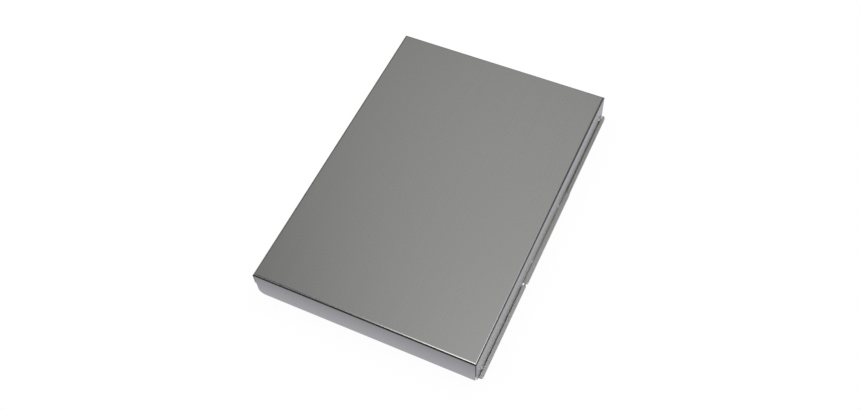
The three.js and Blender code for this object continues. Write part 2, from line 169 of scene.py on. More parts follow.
def new_object(name, bm):
    """A mesh object in metres from a bmesh in millimetres, with its faces pointing out."""
    bmesh.ops.recalc_face_normals(bm, faces=bm.faces)
    mesh = bpy.data.meshes.new(name)
    bm.to_mesh(mesh)
    bm.free()
    mesh.transform(Matrix.Scale(MM, 4))
    obj = bpy.data.objects.new(name, mesh)
    bpy.context.scene.collection.objects.link(obj)
    return obj


def prism(axis, outline, start, end, name="prism"):
    """A closed prism: its outline lies across an axis, and it runs along that axis."""
    bm = bmesh.new()
    place = PLACE[axis]
    near = [bm.verts.new(place(u, v, start)) for u, v in outline]
    far = [bm.verts.new(place(u, v, end)) for u, v in outline]
    bm.faces.new(near)
    bm.faces.new(reversed(far))
    count = len(outline)
    for i in range(count):
        j = (i + 1) % count
        bm.faces.new((near[i], near[j], far[j], far[i]))
    return new_object(name, bm)


def box(xs, ys, zs):
    outline = [(xs[0], ys[0]), (xs[1], ys[0]), (xs[1], ys[1]), (xs[0], ys[1])]
    return prism("z", outline, zs[0], zs[1])


def lathe(profile, axis, centre, name="lathe", steps=ROUND):
    """A closed solid of revolution. The profile is (radius, distance along the axis), from pole to pole."""
    bm = bmesh.new()
    place = PLACE[axis]
    shift = Vector(centre)
    rings = []
    for radius, along in profile:
        ring = circle(0, 0, radius, steps) if radius > 1e-6 else [(0, 0)]
        rings.append([bm.verts.new(Vector(place(u, v, along)) + shift) for u, v in ring])
    for near, far in zip(rings, rings[1:]):
        for i in range(steps):
            j = (i + 1) % steps
            if len(near) == 1:
                bm.faces.new((near[0], far[j], far[i]))
            elif len(far) == 1:
                bm.faces.new((near[i], near[j], far[0]))
            else:
                bm.faces.new((near[i], near[j], far[j], far[i]))
    return new_object(name, bm)


def tube(points, radius, name, sides=16):
    """A round wire along a list of points, drawn in a little at its closed ends."""
    line = [Vector(p) for p in points]
    last = len(line) - 1
    angles = [2 * math.pi * k / sides for k in range(sides)]
    bm = bmesh.new()

    def ring(centre, side, up, size):
        return [bm.verts.new(centre + size * (math.cos(a) * side + math.sin(a) * up)) for a in angles]

    def wall(near, far):
        for i in range(sides):
            j = (i + 1) % sides
            bm.faces.new((near[i], near[j], far[j], far[i]))

    frames = []
    side = None
    for i, point in enumerate(line):
        ahead = (line[min(i + 1, last)] - line[max(i - 1, 0)]).normalized()
        if side is None:
            side = ahead.orthogonal().normalized()
        side = (side - ahead * side.dot(ahead)).normalized()
        frames.append((point, ahead, side, ahead.cross(side)))
    rings = [ring(point, side, up, radius) for point, ahead, side, up in frames]
    for near, far in zip(rings, rings[1:]):
        wall(near, far)
    for index, sign in ((0, -1), (last, 1)):
        point, ahead, side, up = frames[index]
        cap = ring(point + sign * 0.35 * radius * ahead, side, up, 0.7 * radius)
        wall(rings[index], cap)
        bm.faces.new(cap)
    return new_object(name, bm)


def combine(target, tool, operation):
    """target joined with, cut by or kept inside tool, which is used up."""
    modifier = target.modifiers.new("combine", "BOOLEAN")
    modifier.operation = operation
    modifier.solver = "EXACT"
    modifier.object = tool
    bpy.context.view_layer.update()
    evaluated = target.evaluated_get(bpy.context.evaluated_depsgraph_get())
    mesh = bpy.data.meshes.new_from_object(evaluated)
    target.modifiers.clear()
    target.data = mesh
    bpy.data.objects.remove(tool)
    return target


def cut(target, *tools):
    for tool in tools:
        combine(target, tool, "DIFFERENCE")
    return target


def joined(target, *tools):
    for tool in tools:
        combine(target, tool, "UNION")
    return target


def slice_up(obj, cuts):
    """Adds edges where a list of planes (axis, place in millimetres) cross the mesh."""
    bm = bmesh.new()
    bm.from_mesh(obj.data)
    for axis, place in cuts:
        normal = Vector([float(i == axis) for i in range(3)])
        bmesh.ops.bisect_plane(
            bm,
            geom=bm.verts[:] + bm.edges[:] + bm.faces[:],
            plane_co=normal * place * MM,
            plane_no=normal,
            dist=1e-7,
        )
    bm.to_mesh(obj.data)
    bm.free()


def grain_map(mesh, turned=False):
    """A UV map whose U runs across the brushing, and is the same length everywhere."""
    layer = mesh.uv_layers.get("grain") or mesh.uv_layers.new(name="grain")
    for polygon in mesh.polygons:
        n = polygon.normal
        for loop in polygon.loop_indices:
            co = mesh.vertices[mesh.loops[loop].vertex_index].co
            if abs(n.z) >= max(abs(n.x), abs(n.y)):
                u, v = co.x, co.y
            elif abs(n.x) >= abs(n.y):
                u, v = co.z, co.y
            else:
                u, v = co.x, co.z
            layer.data[loop].uv = (v, u) if turned else (u, v)


def finished(
    obj, body, material, name, stands_for=(), soft_edge=None, turned=False, sharp=32, bends=None
):
    """Names and smooths a piece, gives it its material and sets what it follows.

    soft_edge is the width of the bevel on its edges, and turned lays the brushing along X.
    bends, given as (first body, second body, start, end) for a piece meant to bend between two bodies, only
    makes it keep its place baked in and follow no body; its values are not used.
    """
    obj.name = name
    obj.data.name = name
    if soft_edge:
        bevel = obj.modifiers.new("edges", "BEVEL")
        bevel.width = soft_edge * MM
        bevel.segments = 2
        bevel.limit_method = "ANGLE"
        bevel.angle_limit = math.radians(50)
        bevel.use_clamp_overlap = True
        bpy.context.view_layer.update()
        evaluated = obj.evaluated_get(bpy.context.evaluated_depsgraph_get())
        mesh = bpy.data.meshes.new_from_object(evaluated)
        obj.modifiers.clear()
        obj.data = mesh
        mesh.name = name
    mesh = obj.data
    mesh.shade_smooth()
    mesh.set_sharp_from_angle(angle=math.radians(sharp))
    grain_map(mesh, turned)
    weighted = obj.modifiers.new("normals", "WEIGHTED_NORMAL")
    weighted.keep_sharp = True
    weighted.weight = 60
    mesh.materials.clear()
    mesh.materials.append(material)
    if bends:
        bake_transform(obj)
    else:
        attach(obj, body)
    if stands_for:
        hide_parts(*stands_for)
    return obj


# ---------------------------------------------------------------- materials
def node_material(name):
    material = bpy.data.materials.new(name)
    material.use_nodes = True
    nodes = material.node_tree.nodes
    shader = nodes["Principled BSDF"]
    return material, nodes, material.node_tree.links, shader


def add(nodes, kind, **values):
    node = nodes.new(kind)
    for key, value in values.items():
        if key in node.inputs:
            node.inputs[key].default_value = value
        else:
            setattr(node, key, value)
    return node


def remap(nodes, links, source, low, high):
    """source, from 0 to 1, as a value from low to high."""
    node = nodes.new("ShaderNodeMapRange")
    node.inputs["To Min"].default_value = low
    node.inputs["To Max"].default_value = high
    links.new(source, node.inputs["Value"])
    return node.outputs["Result"]


def tinted(nodes, links, source, colour, spread):
    """colour, a little darker or lighter with source."""
    ramp = nodes.new("ShaderNodeValToRGB")
    ramp.color_ramp.elements[0].color = [c * (1 - spread) for c in colour] + [1]
    ramp.color_ramp.elements[1].color = [min(1, c * (1 + spread)) for c in colour] + [1]
    links.new(source, ramp.inputs["Fac"])
    return ramp.outputs["Color"]


def brushed(name, colour, roughness, anisotropy, streak=(2200, 14, 2200), bump=0.00001):
    """Satin metal brushed along +Y on the flat sheet: streaks in tone, gloss and height."""
    material, nodes, links, shader = node_material(name)
    shader.inputs["Metallic"].default_value = 1
    shader.inputs["Anisotropic"].default_value = anisotropy
    tangent = add(nodes, "ShaderNodeTangent", direction_type="UV_MAP", uv_map="grain")
    links.new(tangent.outputs["Tangent"], shader.inputs["Tangent"])
    where = nodes.new("ShaderNodeUVMap")
    where.uv_map = "grain"
    stretch = add(nodes, "ShaderNodeMapping", Scale=streak)
    links.new(where.outputs["UV"], stretch.inputs["Vector"])
    fine = add(nodes, "ShaderNodeTexNoise", Scale=1.0, Detail=3.0, Roughness=0.6)
    links.new(stretch.outputs["Vector"], fine.inputs["Vector"])
    broad_place = add(nodes, "ShaderNodeMapping", Scale=(90, 4, 90))
    links.new(where.outputs["UV"], broad_place.inputs["Vector"])
    broad = add(nodes, "ShaderNodeTexNoise", Scale=1.0, Detail=2.0, Roughness=0.5)
    links.new(broad_place.outputs["Vector"], broad.inputs["Vector"])
    mixed = nodes.new("ShaderNodeMix")
    mixed.inputs["Factor"].default_value = 0.45
    links.new(fine.outputs["Fac"], mixed.inputs["A"])
    links.new(broad.outputs["Fac"], mixed.inputs["B"])
    tone = tinted(nodes, links, mixed.outputs["Result"], colour, 0.06)
    links.new(tone, shader.inputs["Base Color"])
    gloss = remap(nodes, links, mixed.outputs["Result"], roughness - 0.06, roughness + 0.06)
    links.new(gloss, shader.inputs["Roughness"])
    height = add(nodes, "ShaderNodeBump", Strength=0.1, Distance=bump)
    links.new(fine.outputs["Fac"], height.inputs["Height"])
    links.new(height.outputs["Normal"], shader.inputs["Normal"])
    return material


def even_metal(name, colour, roughness, grain=300.0, spread=0.04, bump=0.00001):
    """Plated, plain or set metal: fine mottling in tone, gloss and height."""
    material, nodes, links, shader = node_material(name)
    shader.inputs["Metallic"].default_value = 1
    where = nodes.new("ShaderNodeTexCoord")
    speckle = add(nodes, "ShaderNodeTexNoise", Scale=grain, Detail=4.0, Roughness=0.6)
    links.new(where.outputs["Object"], speckle.inputs["Vector"])
    tone = tinted(nodes, links, speckle.outputs["Fac"], colour, spread)
    links.new(tone, shader.inputs["Base Color"])
    gloss = remap(nodes, links, speckle.outputs["Fac"], roughness * 0.8, roughness * 1.25)
    links.new(gloss, shader.inputs["Roughness"])
    height = add(nodes, "ShaderNodeBump", Strength=0.3, Distance=bump)
    links.new(speckle.outputs["Fac"], height.inputs["Height"])
    links.new(height.outputs["Normal"], shader.inputs["Normal"])
    return material


ALUMINIUM = brushed("brushed_aluminium", (0.78, 0.785, 0.775), 0.27, 0.6)
LEAF_METAL = brushed("brushed_leaf", (0.86, 0.87, 0.855), 0.52, 0.2)
PLATED = even_metal("nickel_plate", (0.80, 0.79, 0.77), 0.16)
SPRING = even_metal("spring_steel", (0.50, 0.50, 0.52), 0.28, spread=0.10)
RIVET = even_metal("rivet_metal", (0.86, 0.86, 0.86), 0.16, grain=900.0)


# ---------------------------------------------------------------- rivets
CORNER_RIVET = {"shank": 1.6, "head": 2.6, "rise": 1.7}
SMALL_RIVET = {"shank": 1.3, "head": 1.9, "rise": 1.1}
LATCH_RIVET = {"shank": 1.1, "head": 1.8, "rise": 0.65}
CORNER_SEAT = 0.75  # how deep a rivet's head sits in its dish
LEAF_SEAT = 0.3


def dome(radius, base, rise, step=10):
    """A domed head's profile, as (radius, distance along the axis), from its rim to near its pole."""
    angles = [math.radians(a) for a in range(0, 90, step)]
    return [(radius * math.cos(a), base + rise * math.sin(a)) for a in angles]


def set_rivet(node, body, outer, inner, shank, head, rise):
    """A domed rivet along X through the sheets between outer, the side of its head, and inner."""
    place = middle(node)
    side = 1 if outer > inner else -1
    tail = 0.7
    rim = 0.15
    under = 0.02
    profile = [(0, inner - side * tail), (head * 0.55, inner - side * tail)]
    profile += [(head * 0.78, inner - side * (tail - 0.25)), (head * 0.8, inner - side * under)]
    profile += [(shank, inner - side * under), (shank, outer + side * under), (head, outer + side * under)]
    profile += [(radius, outer + side * height) for radius, height in dome(head, rim, rise - rim)]
    profile += [(0, outer + side * rise)]
    rivet = lathe(profile, "x", (0, place.y, place.z))
    return finished(rivet, body, RIVET, "set_" + node, [node], sharp=50)


# ---------------------------------------------------------------- cover
COVER_INNER_X = HALF_X - SHEET
COVER_INNER_Y = HALF_Y - SHEET
TAB_INNER = COVER_INNER_X - SEAM - SHEET
OPEN_EDGE = -COVER_INNER_X + 0.2
LIP_BOTTOM = TOP - LIP_DEPTH


def folded_lid(bottom):
    """A top panel with folded skirts all round: an outer body less an inner one."""

    def arch(half, top, radius, low):
        points = [(-half, low), (half, low)]
        points += arc(half - radius, top - radius, radius, 0, 90)
        points += arc(-half + radius, top - radius, radius, 90, 180)
        return points

    def pillow(half_x, half_y, top, radius, low):
        body = prism("y", arch(half_x, top, radius, low), -half_y, half_y)
        return combine(body, prism("x", arch(half_y, top, radius, low), -half_x, half_x), "INTERSECT")

    lid = pillow(HALF_X, HALF_Y, TOP, COVER_BEND, bottom)
    return cut(lid, pillow(COVER_INNER_X, COVER_INNER_Y, TOP - SHEET, COVER_BEND - SHEET, bottom - 5 * PAST))


def span(side, near, far):
    """A stretch between two distances from the middle, on one side of it."""
    return (-far, -near) if side < 0 else (near, far)


def rivet_hole(node, radius, xs):
    """The tool that drills a rivet's hole along X."""
    place = middle(node)
    return prism("x", circle(place.y, place.z, radius, 32), *xs)


def dimple(node, radius, depth):
    """The shallow dish that a set rivet draws into the outside of the hinge-side skirt."""
    place = middle(node)
    ball = (radius**2 + depth**2) / (2 * depth)
    reach = math.degrees(math.asin(radius / ball))
    slope = [math.radians(reach * i / 6) for i in range(7)]
    inside = [(ball * math.sin(a), HALF_X - depth + ball * (1 - math.cos(a))) for a in slope]
    profile = inside + [(radius, HALF_X + PAST), (0, HALF_X + PAST)]
    return lathe(profile, "x", (0, place.y, place.z), steps=40)


def cover_sheet():
    bottom = COVER_LOW.z
    beyond = HALF_Y + PAST
    seam_top = TOP - COVER_BEND - 0.2
    seam = COVER_INNER_X - SEAM
    tab_end = COVER_INNER_Y - TAB_LENGTH
    lid = folded_lid(bottom)
    for side, end in ((-1, "front"), (1, "back")):
        tab = box((TAB_INNER, COVER_INNER_X - SEAM / 2), span(side, tab_end, HALF_Y - 0.5), TAB_HEIGHT)
        skirt = span(side, COVER_INNER_Y - 0.1, beyond)
        corner = [(OPEN_EDGE - PAST, bottom - PAST), (OPEN_EDGE + SKIRT_CORNER, bottom - PAST)]
        corner += arc(OPEN_EDGE + SKIRT_CORNER, bottom + SKIRT_CORNER, SKIRT_CORNER, 270, 180)
        corner += [(OPEN_EDGE - PAST, bottom + SKIRT_CORNER)]
        fold = [(seam - TAB_FOLD, -HALF_Y - PAST), (seam + 0.1, -HALF_Y - PAST)]
        fold += [(seam + 0.1, -HALF_Y + TAB_FOLD)]
        fold += arc(seam - TAB_FOLD, -HALF_Y + TAB_FOLD, TAB_FOLD, 0, -90)
        fold = [(u, v * -side) for u, v in fold]
        gap = span(side, HALF_Y - CORNER_GAP_LENGTH, beyond)
        setback = span(side, HALF_Y - SKIRT_SETBACK, beyond)
        joined(lid, tab)
        cut(
            lid,
            box((seam, COVER_INNER_X), span(side, tab_end - 1, beyond), (-PAST, seam_top)),
            box((COVER_INNER_X - CORNER_GAP, COVER_INNER_X), gap, (-PAST, seam_top)),
            box((seam, HALF_X + PAST), setback, (-PAST, seam_top - 1)),
            prism("z", fold, -PAST, seam_top),
            box((-HALF_X + SHEET, OPEN_EDGE), skirt, (-PAST, seam_top)),
            prism("y", corner, *skirt),
            dimple(f"corner_rivet_{end}", *CORNER_DISH),
            dimple(f"leaf_rivet_{end}", *LEAF_DISH),
            rivet_hole(f"corner_rivet_{end}", CORNER_HOLE, (TAB_INNER - PAST, HALF_X + PAST)),
            rivet_hole(f"leaf_rivet_{end}", SMALL_HOLE, (COVER_INNER_X - PAST, HALF_X + PAST)),
        )
    slot = (-LIP_SLOT["half"], LIP_SLOT["half"])
    cut(
        lid,
        box((-HALF_X - PAST, OPEN_EDGE), (-beyond, beyond), (-PAST, LIP_BOTTOM)),
        box((seam, HALF_X + PAST), (-beyond, beyond), (-PAST, HINGE_SKIRT_BOTTOM)),
        box((-HALF_X - PAST, -COVER_INNER_X + PAST), slot, (LIP_SLOT["low"], LIP_SLOT["high"])),
    )
    return lid


def rolled(half_width, half_height, corner, sheet, tail):
    """Sheet rolled nearly square round the pin, from below it, up the outer side and over the top."""
    left, right = HINGE.x - half_width, HINGE.x + half_width
    low, high = HINGE.z - half_height + corner, HINGE.z + half_height - corner
    inner = ROLL_INSIDE
    low_in = HINGE.z - half_height + sheet + inner
    high_in = HINGE.z + half_height - sheet - inner
    section = arc(right - corner, low, corner, -90, 0) + arc(right - corner, high, corner, 0, 90)
    section += arc(left + corner, high, corner, 90, 180)
    section += [(left, HINGE.z - ROLL_END), (left + sheet, HINGE.z - ROLL_END)]
    section += arc(left + sheet + inner, high_in, inner, 180, 90)
    section += arc(right - sheet - inner, high_in, inner, 90, 0)
    return section + arc(right - sheet - inner, low_in, inner, 0, -90) + tail


def leaf_sheet():
    low = LEAF_LOW.z
    high = low + LEAF["sheet"]
    left = LEAF_LOW.x
    right = left + LEAF["sheet"]
    tail = arc(right + LEAF_FILLET, high + LEAF_FILLET, LEAF_FILLET, 270, 180, 4)
    tail += [(right, LEAF_HIGH.z), (left, LEAF_HIGH.z)]
    tail += arc(left + LEAF_FOLD, low + LEAF_FOLD, LEAF_FOLD, 180, 270)
    leaf = prism("y", rolled(**LEAF, tail=tail), LEAF_LOW.y, LEAF_HIGH.y)
    edge = HINGE.x + LEAF["half_width"]
    corner = LEAF_END_CORNER
    for stop, side in ((LEAF_LOW.y, -1), (LEAF_HIGH.y, 1)):
        plan = [(edge - corner, stop + side), (edge - corner, stop)]
        plan += arc(edge - corner, stop - side * corner, corner, 90 * side, 0)
        plan += [(edge + PAST, stop - side * corner), (edge + PAST, stop + side)]
        cut(leaf, prism("z", plan, -PAST, TOP))
    through = (left - PAST, right + PAST)
    return cut(leaf, *(rivet_hole(f"leaf_rivet_{end}", SMALL_HOLE, through) for end in ("front", "back")))


def hinge_pin():
    radius = PIN_HIGH.x - HINGE.x
    low, high = PIN_LOW.y, PIN_HIGH.y
    tip = 0.3
    profile = [(0, low), (radius * 0.7, low), (radius, low + tip)]
    profile += [(radius, high - tip), (radius * 0.7, high), (0, high)]
    return lathe(profile, "y", (HINGE.x, 0, HINGE.z), steps=24)


# ---------------------------------------------------------------- tray
WALL_INNER = TRAY_LEFT + SHEET


def folded_tray():
    """A floor with folded walls on three sides, open towards the hinge."""
    right = TRAY_FLOOR_RIGHT
    open_side = right + 2 * PAST

    def channel(half, low, radius):
        points = arc(-half + radius, low + radius, radius, 180, 270)
        points += arc(half - radius, low + radius, radius, 270, 360)
        return points + [(half, TRAY_WALL), (-half, TRAY_WALL)]

    def side(left, end, low, radius):
        points = arc(left + radius, low + radius, radius, 180, 270)
        return points + [(end, low), (end, TRAY_WALL), (left, TRAY_WALL)]

    body = prism("y", side(TRAY_LEFT, right, 0, BEND), -TRAY_HALF_Y, TRAY_HALF_Y)
    combine(body, prism("x", channel(TRAY_HALF_Y, 0, BEND), TRAY_LEFT, right), "INTERSECT")
    inner_y = TRAY_HALF_Y - SHEET
    hollow = prism("y", side(WALL_INNER, open_side, SHEET, BEND - SHEET), -inner_y, inner_y)
    combine(hollow, prism("x", channel(inner_y, SHEET, BEND - SHEET), WALL_INNER, open_side), "INTERSECT")
    # the hollow runs out of the tray's top
    lift = box((WALL_INNER, open_side), (-inner_y, inner_y), (TRAY_WALL - PAST, TRAY_WALL + PAST))
    return cut(body, joined(hollow, lift))


def tray_leaf(end):
    """One of the tray's hinge leaves: a knuckle and a narrow flat beside the floor, with a rounded end."""
    (flat_edge, start, _), (edge, stop, _) = TRAY_LEAF[end]
    low = HINGE.z - KNUCKLE_HALF
    lifted = COVER_INNER_X - 2
    tail = [(COVER_INNER_X, low + KNUCKLE["sheet"]), (lifted, SHEET), (flat_edge, SHEET)]
    tail += [(flat_edge, 0), (lifted, 0), (COVER_INNER_X, low)]
    knuckle = prism("y", rolled(**KNUCKLE, tail=tail), start, stop)
    side, reach = (-1, -start) if end == "front" else (1, stop)
    corner = KNUCKLE_END_CORNER
    outer = [(edge - corner, reach + PAST), (edge - corner, reach)]
    outer += arc(edge - corner, reach - corner, corner, 90, 0)
    outer += [(edge + PAST, reach - corner), (edge + PAST, reach + PAST)]
    cut(knuckle, prism("z", [(u, v * side) for u, v in outer], -PAST, TRAY_WALL))
    inside = HINGE.x - KNUCKLE_HALF
    if reach > JOGGLE_END:
        joggle = span(side, JOGGLE_END, reach + PAST)
        cut(knuckle, box((flat_edge - PAST, inside), joggle, (-PAST, TRAY_WALL)))
    return knuckle


def tray_sheet():
    inner_y = TRAY_HALF_Y - SHEET
    above = TRAY_WALL + PAST
    open_side = TRAY_FLOOR_RIGHT + PAST
    corner = END_WALL_CORNER
    tray = folded_tray()
    tab_x = (WALL_INNER + SEAM, WALL_INNER + SEAM + SHEET)
    for side, end in ((-1, "front"), (1, "back")):
        wall = span(side, inner_y - 0.1, TRAY_HALF_Y + PAST)
        clear = [(WALL_INNER + SEAM, TRAY_END_WALL)]
        clear += arc(TRAY_WALL_RIGHT - corner, TRAY_END_WALL - corner, corner, 90, 0)
        clear += [(TRAY_WALL_RIGHT, TRAY_OPEN_CORNER), (open_side, TRAY_OPEN_CORNER)]
        clear += [(open_side, above), (WALL_INNER + SEAM, above)]
        joined(tray, box(tab_x, span(side, inner_y - TRAY_TAB_LENGTH, inner_y + 0.5), TRAY_TAB_HEIGHT))
        cut(
            tray,
            prism("y", clear, *wall),
            rivet_hole(f"tray_rivet_{end}", SMALL_HOLE, (TRAY_LEFT - PAST, tab_x[1] + PAST)),
            rivet_hole(f"latch_rivet_{end}", LATCH_HOLE, (TRAY_LEFT - PAST, WALL_INNER + PAST)),
        )
    notch = (-THUMB_NOTCH["half"], THUMB_NOTCH["half"])
    cut(tray, box((TRAY_LEFT - PAST, WALL_INNER + 0.1), notch, (THUMB_NOTCH["bottom"], above)))
    for hand in ("left", "right"):
        place = middle(f"clip_rivet_{hand}")
        cut(tray, prism("z", circle(place.x, place.y, FLUSH_HOLE, 32), -PAST, SHEET + PAST))
    return tray


# ---------------------------------------------------------------- clip
CLIP_SHEET = 1.2
EAR = {"x": 50.0, "radius": 4.6, "half": 6.5}
CLIP_HOLE = 1.6
PLATE_CORNER = 5
JAW_HALF = corners("clip_jaw")[1].x
LEVER_HALF = 48.0
LEVER_START = -10.0
LEVER_END_CORNER = 7.0
LEVER_CORNER_START = 18.5
CHEEK = {"x": 54.0, "radius": 4.4}
# the jaw's side view, from its grip over the pin to the lever's edge, measured from the pin
JAW_LINE = [
    (27.2, -6.2),
    (26.4, -2.2),
    (22.5, 2.8),
    (15, 5.6),
    (7, 6.7),
    (0, 6.7),
    (-8, 7.4),
    (-17, 11.4),
    (-24.5, 16),
]
TOOTH = {"pitch": 7.5, "radius": 1.5}
CURL = 1.35
RIB = {"x": 24.0, "radius": 1.3}
SPRING_COIL = {"wire": 0.6, "radius": 3.2, "turns": 3.5, "pitch": 1.5, "leg": 13.0}


def smooth_line(points, steps):
    """An even curve through a list of plane points."""
    line = []
    last = len(points) - 1
    for i in range(steps * last + 1):
        k = min(i // steps, last - 1)
        t = i / steps - k
        a, b, c, d = (Vector(points[max(0, min(last, k + n))]) for n in (-1, 0, 1, 2))
        square = 2 * a - 5 * b + 4 * c - d
        cube = 3 * b - a - 3 * c + d
        line.append(0.5 * (2 * b + (c - a) * t + square * t**2 + cube * t**3))
    return line


def strip(line, thickness):
    """The outline of an even strip along a plane curve."""
    upper, lower = [], []
    for i, point in enumerate(line):
        along = (line[min(i + 1, len(line) - 1)] - line[max(i - 1, 0)]).normalized()
        across = Vector((-along.y, along.x)) * thickness / 2
        upper.append(tuple(point + across))
        lower.append(tuple(point - across))
    return upper + lower[::-1]


def clip_plate():
    low, high = PLATE_LOW, PLATE_HIGH
    corner = PLATE_CORNER
    plan = arc(low.x + corner, low.y + corner, corner, 180, 270)
    plan += arc(high.x - corner, low.y + corner, corner, 270, 360)
    plan += arc(high.x - corner, high.y - corner, corner, 0, 90)
    plan += arc(low.x + corner, high.y - corner, corner, 90, 180)
    plate = prism("z", plan, low.z, low.z + CLIP_SHEET)
    ear = [(PIVOT.y - EAR["half"], low.z + 0.3), (PIVOT.y + EAR["half"], low.z + 0.3)]
    ear += arc(PIVOT.y, PIVOT.z, EAR["radius"], 0, 180, 24)
    for side in (-1, 1):
        joined(plate, prism("x", ear, *span(side, EAR["x"], EAR["x"] + CLIP_SHEET)))
        place = middle("clip_rivet_left" if side < 0 else "clip_rivet_right")
        cut(plate, prism("z", circle(place.x, place.y, CLIP_RIVET_HOLE, 32), 0, 5))
    return cut(plate, prism("x", circle(PIVOT.y, PIVOT.z, CLIP_HOLE, 32), low.x, high.x))


def jaw_plate():
    """The sprung jaw: a bent plate with a toothed grip, a curled lever edge, two ribs and two cheeks."""
    line = [point + PIVOT.yz for point in smooth_line(JAW_LINE, 6)]
    plate = prism("x", strip(line, CLIP_SHEET), -JAW_HALF, JAW_HALF)
    start = PIVOT.y + LEVER_START
    end = PIVOT.y - 40
    tip = LEVER_END_CORNER
    shoulder = 6
    for side in (-1, 1):
        plan = [(JAW_HALF + PAST, start)]
        plan += arc(LEVER_HALF + shoulder, start - shoulder, shoulder, 90, 180)
        plan += arc(LEVER_HALF - tip, PIVOT.y - LEVER_CORNER_START, tip, 0, -90)
        plan += [(LEVER_HALF - tip, end), (JAW_HALF + PAST, end)]
        cut(plate, prism("z", [(side * u, v) for u, v in plan], 0, TOP))
    teeth = int(JAW_HALF // TOOTH["pitch"])
    grip = PIVOT.z + JAW_LINE[0][1]
    for i in range(-teeth, teeth + 1):
        notch = circle(i * TOOTH["pitch"], grip - 0.3, TOOTH["radius"], 20)
        cut(plate, prism("y", notch, PIVOT.y + JAW_LINE[1][0] - 4, PIVOT.y + JAW_LINE[0][0] + 3))
    lever = line[-1]
    curl = LEVER_HALF - tip - 1
    joined(plate, prism("x", circle(lever.x + 0.5, lever.y - 0.5, CURL, 24), -curl, curl))
    for side in (-1, 1):
        ribs = [(side * RIB["x"], point.x, point.y + 0.25) for point in line[18:-4]]
        joined(plate, tube(ribs, RIB["radius"], "rib"))
        cheek = arc(PIVOT.y, PIVOT.z, CHEEK["radius"], 180, 360, 20)
        cheek += [(PIVOT.y + 9, PIVOT.z + 6.4), (PIVOT.y, PIVOT.z + 6.8), (PIVOT.y - 7.5, PIVOT.z + 7.2)]
        joined(plate, prism("x", cheek, *span(side, CHEEK["x"], CHEEK["x"] + CLIP_SHEET)))
    return cut(plate, prism("x", circle(PIVOT.y, PIVOT.z, CLIP_HOLE, 32), -JAW_HALF, JAW_HALF))


def clip_rod():
    """The clip's pin along X, with a domed head at each end."""
    high = corners("clip_pin")[1]
    head = high.z - PIVOT.z
    length = 1.2
    radius = 1.3
    rim = 0.4
    half = [(radius, 0), (radius, high.x - length), (head, high.x - length)]
    half += dome(head, high.x - length + rim, length - rim, 15)
    half += [(0, high.x)]
    profile = [(r, -along) for r, along in reversed(half)] + half[1:]
    return lathe(profile, "x", (0, PIVOT.y, PIVOT.z), steps=32)


def clip_rivet(node):
    """A rivet along Z, domed on the clip's plate and flush under the tray's floor."""
    place = middle(node)
    low, high = corners(node)
    head = high.x - place.x
    foot, shank, rim = 1.95, 1.5, 0.3
    foot_top = SHEET + 0.05
    top = PLATE_LOW.z + CLIP_SHEET + 0.02
    profile = [(0, low.z), (foot, low.z), (foot, foot_top), (shank, foot_top), (shank, top), (head, top)]
    profile += dome(head, top + rim, high.z - top - rim)
    return lathe(profile + [(0, high.z)], "z", (place.x, place.y, 0), steps=40)


def coil(node):
    """A torsion spring round the clip's pin: one leg on the plate, the other under the lever."""
    wire, radius, turns, pitch, leg = SPRING_COIL.values()
    start = middle(node).x - turns * pitch / 2
    per_turn = 28
    steps = 8
    drop, lift = 1.6, 4.2
    points = [(start, -leg + leg * i / steps, -radius - drop * (1 - i / steps)) for i in range(steps)]
    for i in range(int(turns * per_turn) + 1):
        angle = -math.pi / 2 + 2 * math.pi * i / per_turn
        points.append((start + pitch * i / per_turn, radius * math.cos(angle), radius * math.sin(angle)))
    end = start + turns * pitch
    points += [(end, -leg * i / steps, radius + lift * i / steps) for i in range(1, steps + 1)]
    return tube([(x, PIVOT.y + y, PIVOT.z + z) for x, y, z in points], wire, node, sides=12)


# ---------------------------------------------------------------- latch
LATCH_BLADE_HALF = 9.0
LATCH_SHOULDER = FLEX.z
BUTTON = {"bottom": BUTTON_LOW.z, "top": 17.0, "web": 1.1, "nose": 2.3, "nose_from": 21.2}


def latch_spring():
    """A foot, held by two rivets, with a narrower blade that stands on it."""
    half, foot = LATCH_BLADE_HALF, LATCH_HIGH.y
    low, shoulder, high = LATCH_LOW.z, LATCH_SHOULDER, LATCH_HIGH.z
    small, inner, tip = 1, 2, 1.5
    face = arc(foot - small, low + small, small, 270, 360, 4)
    face += arc(foot - small, shoulder - small, small, 0, 90, 4)
    face += arc(half + inner, shoulder + inner, inner, 270, 180, 6)
    face += arc(half - tip, high - tip, tip, 0, 90, 6)
    face += arc(-half + tip, high - tip, tip, 90, 180, 6)
    face += arc(-half - inner, shoulder + inner, inner, 0, -90, 6)
    face += arc(-foot + small, shoulder - small, small, 90, 180, 4)
    face += arc(-foot + small, low + small, small, 180, 270, 4)[:-1]
    leaf = prism("x", face, LATCH_LOW.x, LATCH_HIGH.x)
    for node in ("latch_rivet_front", "latch_rivet_back", "latch_button_rivet"):
        cut(leaf, rivet_hole(node, LATCH_HOLE, (LATCH_LOW.x - PAST, LATCH_HIGH.x + PAST)))
    slice_up(leaf, [(2, low + i) for i in range(1, 20)])
    return leaf


